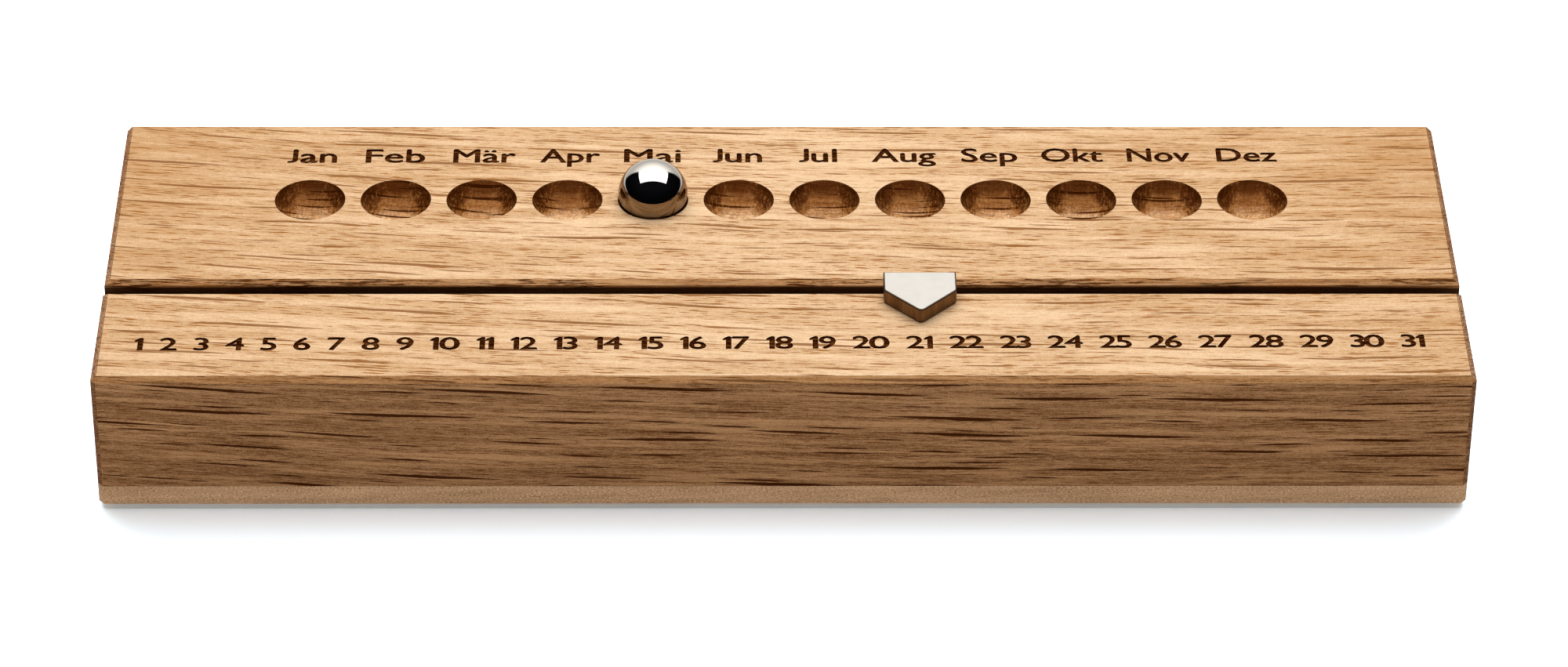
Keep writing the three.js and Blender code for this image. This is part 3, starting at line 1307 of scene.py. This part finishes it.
@dataclass
class OakBar:
    """The oak bar with its bowls, its groove and its burnt lettering. Each month has its name,
    how wide the word is and how far to the right of its bowl it stands, both in mm."""

    months: tuple[tuple[str, float, float], ...] = (
        ("Jan", 9.9, -0.40), ("Feb", 11.9, -0.75), ("Mär", 12.6, 0.12), ("Apr", 12.1, 0.25),
        ("Mai", 11.4, -0.25), ("Jun", 9.9, -0.25), ("Jul", 7.6, -1.10), ("Aug", 13.0, -0.90),
        ("Sep", 11.3, -0.70), ("Okt", 12.4, -1.10), ("Nov", 12.7, -0.70), ("Dez", 12.1, 0.0))
    days: int = 31
    ball_month: int = 5
    pitch: float = 17.4 * MM
    bowl_radius: float = 7.4 * MM
    bowl_depth: float = 5.5 * MM
    bowl_sides: int = 80
    bowl_rings: int = 52
    bowl_skin: float = 0.02 * MM
    chamfer: float = 1.1 * MM
    arris: float = 0.10 * MM
    groove_y: float = -13.5 * MM
    groove_width: float = 3.2 * MM
    groove_depth: float = 9.5 * MM
    mouth: float = 1.1 * MM
    mouth_rear: float = 0.95 * MM
    month_line: float = 30.78 * MM
    month_tilt: float = 0.0025
    day_line: float = -34.7 * MM
    day_tilt: float = 0.0044
    day_left: float = -127.05 * MM
    day_right: float = 125.75 * MM
    overrun: float = 5.0 * MM
    letter_reach: float = 0.36 * MM
    end_slope: float = 0.6
    side_slope: float = 0.8
    chamfer_slope: float = 0.4

    def __post_init__(self) -> None:
        """Reads the bar's corners and the row of bowls from the frame."""
        self.low, self.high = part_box("oak_block")
        ball_low, ball_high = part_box("month_ball")
        middle = (ball_low + ball_high) / 2
        self.row_y = middle.y
        self.first_x = middle.x - (self.ball_month - 1) * self.pitch
        self.bowl_z = self.high.z - self.bowl_depth + self.bowl_radius
        self.lettering = Lettering()

    def bowl_at(self, month: int) -> Vector:
        """The middle of the ball that a month's bowl is cut with, counted from 0."""
        return Vector((self.first_x + month * self.pitch, self.row_y, self.bowl_z))

    def build(self) -> None:
        """Models and dresses the bar."""
        letters = self.letters()
        bar = to_object(self.blank(), "oak_bar")
        cut(bar, to_object(self.groove(), "groove_tool"))
        cut(bar, to_object(self.bowls(), "bowl_tool"))
        cut(bar, to_object(letters, "letter_tool"))
        dress(bar, *[finish.material() for finish in self.finishes()])
        self.sort_faces(bar)
        report(bar, "block", "oak", "oak_block")

    def blank(self) -> bmesh.types.BMesh:
        """The planed bar with its chamfers.

        Returns:
            The mesh being modelled.
        """
        mesh = box_mesh(self.low, self.high)
        middle = (self.low.z + self.high.z) / 2
        sharp = [edge for edge in mesh.edges if max(vert.co.z for vert in edge.verts) > middle]
        bevelled(mesh, sharp, self.chamfer)
        bevelled(mesh, mesh.edges, self.arris, 2)
        return mesh

    def groove(self) -> bmesh.types.BMesh:
        """The slot with its chamfered mouth, drawn out past both ends.

        Returns:
            The mesh being modelled.
        """
        half = self.groove_width / 2
        top = self.high.z
        over = self.overrun
        wide = half + self.mouth
        section = [(-half, top - self.groove_depth), (half, top - self.groove_depth),
                   (half, top - self.mouth_rear), (half + self.mouth_rear, top),
                   (half + self.mouth_rear + over, top + over),
                   (-wide - over, top + over), (-wide, top), (-half, top - self.mouth)]
        start = self.low.x - over
        outline = [Vector((start, self.groove_y + y, z)) for y, z in section]
        return drawn(flat(outline), Vector((self.high.x - self.low.x + 2 * over, 0.0, 0.0)))

    def bowls(self) -> bmesh.types.BMesh:
        """Twelve balls that cut the bowls.

        Returns:
            The mesh being modelled.
        """
        whole = bmesh.new()
        for month in range(len(self.months)):
            ball = bmesh.new()
            bmesh.ops.create_uvsphere(ball, u_segments=self.bowl_sides, v_segments=self.bowl_rings,
                                      radius=self.bowl_radius,
                                      matrix=Matrix.Translation(self.bowl_at(month)))
            append(whole, ball)
        return whole

    def letters(self) -> bmesh.types.BMesh:
        """All the lettering in its place, months behind the bowls and days along the front.

        Returns:
            The mesh being modelled.
        """
        whole = bmesh.new()
        type_set = self.lettering
        floor = self.high.z - type_set.depth
        for month, (name, width_mm, shift_mm) in enumerate(self.months):
            word = type_set.name(name)
            width = width_mm * MM
            stretch(word, width / width_of(word))
            left = self.bowl_at(month).x + shift_mm * MM - width / 2
            move(word, (left, self.month_line + self.month_tilt * left, floor))
            append(whole, type_set.bold(word))
        numbers = [type_set.number(day) for day in range(1, self.days + 1)]
        widths = [width_of(number) for number in numbers]
        gap = (self.day_right - self.day_left - sum(widths)) / (self.days - 1)
        pen = self.day_left
        for number, width in zip(numbers, widths):
            move(number, (pen, self.day_line + self.day_tilt * pen, floor))
            append(whole, type_set.bold(number))
            pen += width + gap
        return whole

    def kind_of(self, face: bmesh.types.BMFace) -> OakFace:
        """Which kind of face this is, from where it lies and how it faces.

        Args:
            face: a face of the bar.

        Returns:
            The kind.
        """
        middle = face.calc_center_median()
        sunk = middle.z < self.high.z - TINY
        wide = self.groove_width / 2 + self.mouth
        nearest = min(max(round((middle.x - self.first_x) / self.pitch), 0), len(self.months) - 1)
        if sunk and (middle - self.bowl_at(nearest)).length < self.bowl_radius + self.bowl_skin:
            return OakFace.BOWL
        across, depth = abs(face.normal.x), abs(face.normal.y)
        if sunk and abs(middle.y - self.groove_y) < wide and across < self.end_slope:
            return OakFace.GROOVE
        inside = abs(middle.x) < self.high.x - self.chamfer - TINY
        inside = inside and abs(middle.y) < self.high.y - self.chamfer - TINY
        if sunk and inside and middle.z > self.high.z - self.letter_reach:
            return OakFace.SCORCH
        if across > self.end_slope:
            return OakFace.END
        if depth > self.side_slope:
            return OakFace.SIDE
        return OakFace.CHAMFER if depth > self.chamfer_slope else OakFace.TOP

    def sort_faces(self, bar: bpy.types.Object) -> None:
        """Gives each face the slot of its kind, and smooths the bowls.

        Args:
            bar: the bar.
        """
        mesh = to_mesh(bar.data)
        mesh.normal_update()
        for face in mesh.faces:
            kind = self.kind_of(face)
            face.material_index = kind.value
            face.smooth = kind is OakFace.BOWL
        mesh.to_mesh(bar.data)
        mesh.free()

    def finishes(self) -> list[Finish]:
        """The finishes in the order of OakFace.

        Returns:
            One finish for each kind of face.
        """
        # Painted light: the top's colours are paler and hold a painted sheen, the side's are darker and hold
        # painted shade, and the chamfer's lie between; all three are the same oiled oak.
        top = dict(pale=shade(0.815, 0.578, 0.360), deep=shade(0.50, 0.270, 0.110),
                   ray=shade(0.235, 0.090, 0.022), pore=shade(0.290, 0.095, 0.006))
        side = dict(pale=shade(0.58, 0.342, 0.178), deep=shade(0.150, 0.060, 0.018),
                    ray=shade(0.046, 0.010, 0.0005), pore=shade(0.14, 0.036, 0.004))
        edge = dict(pale=shade(0.63, 0.345, 0.150), deep=shade(0.31, 0.140, 0.048),
                    ray=shade(0.090, 0.032, 0.009), pore=shade(0.140, 0.042, 0.007))
        return [
            OakFinish(name="oiled_oak_top", **top, ray_share=0.88, pore_share=0.92),
            OakFinish(name="oiled_oak_edge", **edge, ray_share=0.7, pore_share=0.95, boldness=1.3,
                      contrast=1.2),
            OakFinish(name="oiled_oak_side", **side, ray_share=0.96, pore_share=0.9, boldness=1.75,
                      spread=1.5, crowding=1.3, contrast=1.15, ends_share=0.0, rear_share=0.0),
            EndOakFinish(name="oiled_oak_end", **top, ray_share=0.25,
                         shoulder=self.high.z - self.chamfer),
            BowlOakFinish(name="oiled_oak_bowl", **top, ray_share=0.9, boldness=1.6, spread=0.9,
                          contrast=2.0, lean_degrees=46.0, pitch=self.pitch,
                          row=self.row_y, first=self.first_x),
            GrooveOakFinish(name="oiled_oak_groove", **top, ray_share=0.4,
                            lip=self.high.z - self.mouth),
            ScorchFinish(),
        ]


@dataclass
class BasePlate:
    """The pale plate glued under the oak, with rounded lower edges."""

    corner: float = 1.1 * MM
    rounding: float = 0.15 * MM
    round_steps: int = 3

    def build(self) -> None:
        """Models and dresses the plate."""
        low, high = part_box("maple_base")
        mesh = box_mesh(low, high)
        bevelled(mesh, [edge for edge in mesh.edges if climb(edge) > TINY], self.corner)
        bevelled(mesh, lowest(mesh, low.z), self.rounding, self.round_steps)
        plate = to_object(mesh, "maple_plate")
        dress(plate, PaleWoodFinish().material())
        report(plate, "block", "maple", "maple_base")


@dataclass
class MonthBall:
    """The polished steel ball that lies in the bowl of the month."""

    sides: int = 128
    arc_steps: int = 64

    def build(self) -> None:
        """Models and dresses the ball."""
        low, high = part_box("month_ball")
        centre = (low + high) / 2
        radius = (high.z - low.z) / 2
        mesh = bmesh.new()
        pole = mesh.verts.new(centre - Vector((0.0, 0.0, radius)))
        bmesh.ops.spin(mesh, geom=[pole], cent=centre, axis=(0.0, -1.0, 0.0), angle=math.pi,
                       steps=self.arc_steps, use_merge=False)
        bmesh.ops.spin(mesh, geom=mesh.verts[:] + mesh.edges[:], cent=centre, axis=(0.0, 0.0, 1.0),
                       angle=2 * math.pi, steps=self.sides, use_merge=True)
        bmesh.ops.remove_doubles(mesh, verts=mesh.verts, dist=TINY)
        bmesh.ops.recalc_face_normals(mesh, faces=mesh.faces)
        for face in mesh.faces:
            face.smooth = True
        ball = to_object(mesh, "steel_ball")
        dress(ball, PolishedSteelFinish().material())
        report(ball, "ball", "ball_steel", "month_ball")


class SteelFace(Enum):
    """The kinds of face that the pointer has, in the order of its material slots."""

    GROUND = 0
    EDGE = 1
    BEVEL = 2


@dataclass
class DayPointer:
    """The five-sided steel plate and the tongue under its rear edge."""

    flank: float = 6.2 * MM
    tip_radius: float = 1.1 * MM
    shoulder_radius: float = 0.4 * MM
    edge_break: float = 0.26 * MM
    round_steps: int = 10
    seat_gap: float = 0.01 * MM
    lead: float = 0.8 * MM
    tongue_break: float = 0.1 * MM
    flat_slope: float = 0.99
    upright_slope: float = 0.2

    def build(self) -> None:
        """Models and dresses the plate and the tongue."""
        # The second finish paints the upright edges brown, a painted reflection of the oak in front of them;
        # the third paints the edge breaks nearly black, a painted reflection of the dark room.
        finishes = (GroundSteelFinish(),
                    GroundSteelFinish(name="steel_edge", colour=shade(0.34, 0.250, 0.165),
                                      coat=Coat(0.30, 0.5, 1.0, 0.12), lining=1.6, clouding=0.6,
                                      lines=Pattern((900.0, 900.0, 30.0), 3.0, 0.65)),
                    GroundSteelFinish(name="steel_bevel", colour=shade(0.060, 0.048, 0.036),
                                      coat=Coat(0.25, 0.5, 1.0, 0.12)))
        materials = [finish.material() for finish in finishes]
        for made, node in ((self.plate(), "pointer_plate"), (self.tongue(), "pointer_tongue")):
            dress(made, *materials)
            for face in made.data.polygons:
                face.material_index = self.kind_of(face).value
            report(made, "pointer", "pointer_steel", node)

    def kind_of(self, face: bpy.types.MeshPolygon) -> SteelFace:
        """Which kind of face this is: flat, upright, or one that breaks an edge."""
        slope = abs(face.normal.z)
        if slope > self.flat_slope:
            return SteelFace.GROUND
        return SteelFace.EDGE if slope < self.upright_slope else SteelFace.BEVEL

    def plate(self) -> bpy.types.Object:
        """The arrow plate with rounded corners, broken edges and the rebate for the tongue.

        Returns:
            The object.
        """
        low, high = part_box("pointer_plate")
        middle = (low.x + high.x) / 2
        half = (high.x - low.x) / 2
        shoulder = high.y - self.flank
        corners = [(low.x, high.y), (low.x, shoulder), (middle, shoulder - half),
                   (high.x, shoulder), (high.x, high.y)]
        mesh = flat(Vector((x, y, low.z)) for x, y in corners)
        _, left, tip, right, _ = mesh.verts
        bevelled(mesh, [tip], self.tip_radius, self.round_steps, "VERTICES")
        bevelled(mesh, [left, right], self.shoulder_radius, self.round_steps, "VERTICES")
        drawn(mesh, Vector((0.0, 0.0, high.z - low.z)))
        bevelled(mesh, [edge for edge in mesh.edges if climb(edge) < TINY], self.edge_break, 2)
        plate = to_object(mesh, "steel_plate")
        tongue_low, tongue_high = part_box("pointer_tongue")
        room = Vector((self.seat_gap, self.seat_gap, self.seat_gap))
        rebate_low = Vector((tongue_low.x, tongue_low.y, low.z - self.tip_radius)) - room
        rebate_high = Vector((tongue_high.x, high.y + self.tip_radius, tongue_high.z)) + room
        cut(plate, to_object(box_mesh(rebate_low, rebate_high), "rebate_tool"))
        return plate

    def tongue(self) -> bpy.types.Object:
        """The tongue, with a lead on both long lower edges and its other edges broken.

        Returns:
            The object.
        """
        low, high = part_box("pointer_tongue")
        section = [(low.y, low.z + self.lead), (low.y + self.lead / 2, low.z),
                   (high.y - self.lead / 2, low.z), (high.y, low.z + self.lead),
                   (high.y, high.z), (low.y, high.z)]
        outline = [Vector((low.x, y, z)) for y, z in section]
        mesh = drawn(flat(outline), Vector((high.x - low.x, 0.0, 0.0)))
        bevelled(mesh, mesh.edges, self.tongue_break, 2)
        return to_object(mesh, "steel_tongue")


@dataclass
class RubberFeet:
    """Four thin rubber discs under the plate."""

    sides: int = 64
    rounding: float = 0.4 * MM
    round_steps: int = 4

    def build(self) -> None:
        """Models and dresses the feet."""
        rubber = RubberFinish().material()
        for node in [f"rubber_foot_{end}_{side}" for end in ("front", "rear") for side in ("left", "right")]:
            foot = self.foot(node)
            dress(foot, rubber)
            report(foot, "block", "rubber", node)

    def foot(self, node: str) -> bpy.types.Object:
        """One disc with a rounded lower edge.

        Args:
            node: the node that it stands for.

        Returns:
            The object.
        """
        low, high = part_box(node)
        radius = (high.x - low.x) / 2
        mesh = bmesh.new()
        bmesh.ops.create_cone(mesh, cap_ends=True, segments=self.sides, radius1=radius, radius2=radius,
                              depth=high.z - low.z, matrix=Matrix.Translation((low + high) / 2))
        bevelled(mesh, lowest(mesh, low.z), self.rounding, self.round_steps)
        return to_object(mesh, node.replace("rubber_foot", "foot_disc"))


@dataclass(frozen=True)
class Shot:
    """The photograph's camera: where it looks, from how far and at which angles."""

    lens: float = 131.63
    sensor: float = 36.0
    pitch_degrees: float = 35.61
    yaw_degrees: float = -0.84
    roll_degrees: float = 0.475
    target: tuple = (0.47 * MM, 0.0, 10.345 * MM)
    distance: float = 1163.3 * MM
    nearest: float = 0.05
    farthest: float = 50.0

    def build(self) -> None:
        """Makes the camera and gives it to the scene."""
        degrees = (self.pitch_degrees, self.yaw_degrees, self.roll_degrees)
        pitch, yaw, roll = [math.radians(angle) for angle in degrees]
        back = Vector((math.sin(yaw) * math.cos(pitch), -math.cos(yaw) * math.cos(pitch), math.sin(pitch)))
        right = (-back).cross(Vector((0.0, 0.0, 1.0))).normalized()
        up = right.cross(-back)
        turned_right = right * math.cos(roll) + up * math.sin(roll)
        turned_up = up * math.cos(roll) - right * math.sin(roll)
        data = bpy.data.cameras.new("camera")
        data.lens = self.lens
        data.sensor_width = self.sensor
        data.sensor_fit = "HORIZONTAL"
        data.clip_start = self.nearest
        data.clip_end = self.farthest
        camera = in_scene("camera", data)
        turn = Matrix((turned_right, turned_up, back)).transposed().to_4x4()
        camera.matrix_world = Matrix.Translation(Vector(self.target) + back * self.distance) @ turn
        bpy.context.scene.camera = camera


@dataclass
class Studio:
    """A white table under one large soft box, in a dark room with a pale wall behind."""

    box_height: float = 0.70
    box_width: float = 1.20
    box_front: float = -0.175
    box_rear: float = 0.54
    box_power: float = 6.6
    fill_power: float = 4.2
    fill_size: tuple = (1.0, 0.5)
    fill_place: tuple = (0.0, -1.2, 0.26)
    fill_tint: tuple = (1.0, 0.90, 0.78)
    table_ends: tuple = (0.50, 0.525)
    table_tint: Colour = shade(1.33, 1.47, 1.58)
    # Painted light: under the base's edge the floor is tinted paler and bluer, lifting its contact shadow.
    shadow_tint: Colour = shade(1.58, 2.00, 2.34)
    shadow_ends: tuple = (0.0444, 0.0454)
    table_glow: float = 0.15
    table_bounce: Colour = shade(0.80, 0.73, 0.64)
    far_ends: tuple = (0.24, 0.40)
    rear_ends: tuple = (0.15, 0.45)
    wall_low: float = 0.80
    wall_high: float = 2.15
    wall_tint: Colour = shade(1.0, 0.98, 0.94)
    wall_sides: tuple = (math.radians(42), math.radians(50))
    wall_foot: tuple = (math.radians(-2), math.radians(2))
    wall_rise: tuple = (math.radians(8), math.radians(54))
    room_tint: Colour = shade(0.003, 0.003, 0.004)
    floor_size: float = 30.0

    def build(self) -> None:
        """Makes the floor, the light and the world."""
        bpy.context.scene.view_settings.view_transform = "Standard"
        self.floor()
        self.lights()
        self.world()

    def floor(self) -> None:
        """Makes the table top as a plane that is plain white to the camera."""
        mesh = bmesh.new()
        bmesh.ops.create_grid(mesh, x_segments=1, y_segments=1, size=self.floor_size / 2)
        floor = to_object(mesh, "floor")
        dress(floor, self.floor_material())

    def floor_material(self) -> bpy.types.Material:
        """The floor's finish: lit white near the object, and even white further off. The ball
        sees a pale table that ends in the dark, with the wall's light behind it.

        Returns:
            The material.
        """
        material = bpy.data.materials.new("white_table")
        graph = Graph(emptied(material))
        place = graph.named("ShaderNodeTexCoord", "Object")
        length = graph.add("ShaderNodeVectorMath", place, operation="LENGTH")
        away = Value(graph, length.outputs["Value"])
        edge = graph.span(away, *self.table_ends)
        depth = graph.split(place)[1]
        # Painted light in the contact shadow under the base's edge.
        open_floor = graph.span(abs(depth), *self.shadow_ends)
        lit = graph.made("ShaderNodeBsdfDiffuse", graph.blend(open_floor, self.shadow_tint, self.table_tint))
        lift = graph.made("ShaderNodeEmission", WHITE, self.table_glow)
        near = graph.made("ShaderNodeAddShader", lit, lift)
        far = graph.made("ShaderNodeEmission", WHITE, 1.0)
        seen = graph.made("ShaderNodeMixShader", graph.span(away, *self.far_ends), near, far)
        bounce = graph.made("ShaderNodeBsdfDiffuse", graph.blend(edge, self.table_bounce, BLACK))
        behind = graph.made("ShaderNodeEmission", WHITE,
                            edge * graph.span(depth, *self.rear_ends) * self.wall_low)
        around = graph.made("ShaderNodeAddShader", bounce, behind)
        camera = graph.named("ShaderNodeLightPath", "Is Camera Ray")
        graph.add("ShaderNodeOutputMaterial", graph.made("ShaderNodeMixShader", camera, around, seen))
        return material

    def lights(self) -> None:
        """Hangs the soft box overhead and a weak fill in front."""
        middle = (self.box_front + self.box_rear) / 2
        size = (self.box_width, self.box_rear - self.box_front)
        self.panel("soft_box", size, (0.0, middle, self.box_height), (0.0, 0.0, -1.0), self.box_power)
        fill = self.panel("front_fill", self.fill_size, self.fill_place,
                          -Vector(self.fill_place), self.fill_power)
        fill.data.color = self.fill_tint
        fill.visible_glossy = False

    def panel(self, name: str, size: tuple, place: tuple, way: Iterable,
              power: float) -> bpy.types.Object:
        """Hangs one rectangular light that the camera doesn't see.

        Args:
            name: its name.
            size: its width and depth.
            place: where it hangs.
            way: the direction that it shines in.
            power: its power in watts.

        Returns:
            The light's object.
        """
        data = bpy.data.lights.new(name, "AREA")
        data.shape = "RECTANGLE"
        data.size, data.size_y = size
        data.energy = power
        light = in_scene(name, data)
        light.rotation_euler = Vector(way).to_track_quat("-Z", "Y").to_euler()
        light.location = place
        light.visible_camera = False
        return light

    def world(self) -> None:
        """Makes the room: white to the camera, dark to all else but for a pale wall behind."""
        world = bpy.data.worlds.new("room")
        graph = Graph(emptied(world))
        side, depth, height = graph.split(graph.named("ShaderNodeTexCoord", "Generated"))
        turn = abs(graph.math("ARCTAN2", side, depth))
        rise = graph.math("ARCSINE", height)
        wall = graph.span(turn, *self.wall_sides, 1.0, 0.0) * graph.span(rise, *self.wall_foot)
        level = graph.span(rise, *self.wall_rise, self.wall_low, self.wall_high)
        around = graph.made("ShaderNodeBackground", graph.blend(wall, self.room_tint, self.wall_tint), level)
        white = graph.made("ShaderNodeBackground", WHITE)
        camera = graph.named("ShaderNodeLightPath", "Is Camera Ray")
        graph.add("ShaderNodeOutputWorld", graph.made("ShaderNodeMixShader", camera, around, white))
        bpy.context.scene.world = world


def main() -> None:
    """Builds the calendar and the studio round it."""
    logging.basicConfig(level=logging.INFO, format="%(name)s %(message)s")
    Shot().build()
    Studio().build()
    OakBar().build()
    BasePlate().build()
    MonthBall().build()
    DayPointer().build()
    RubberFeet().build()


if __name__ == "__main__":
    main()
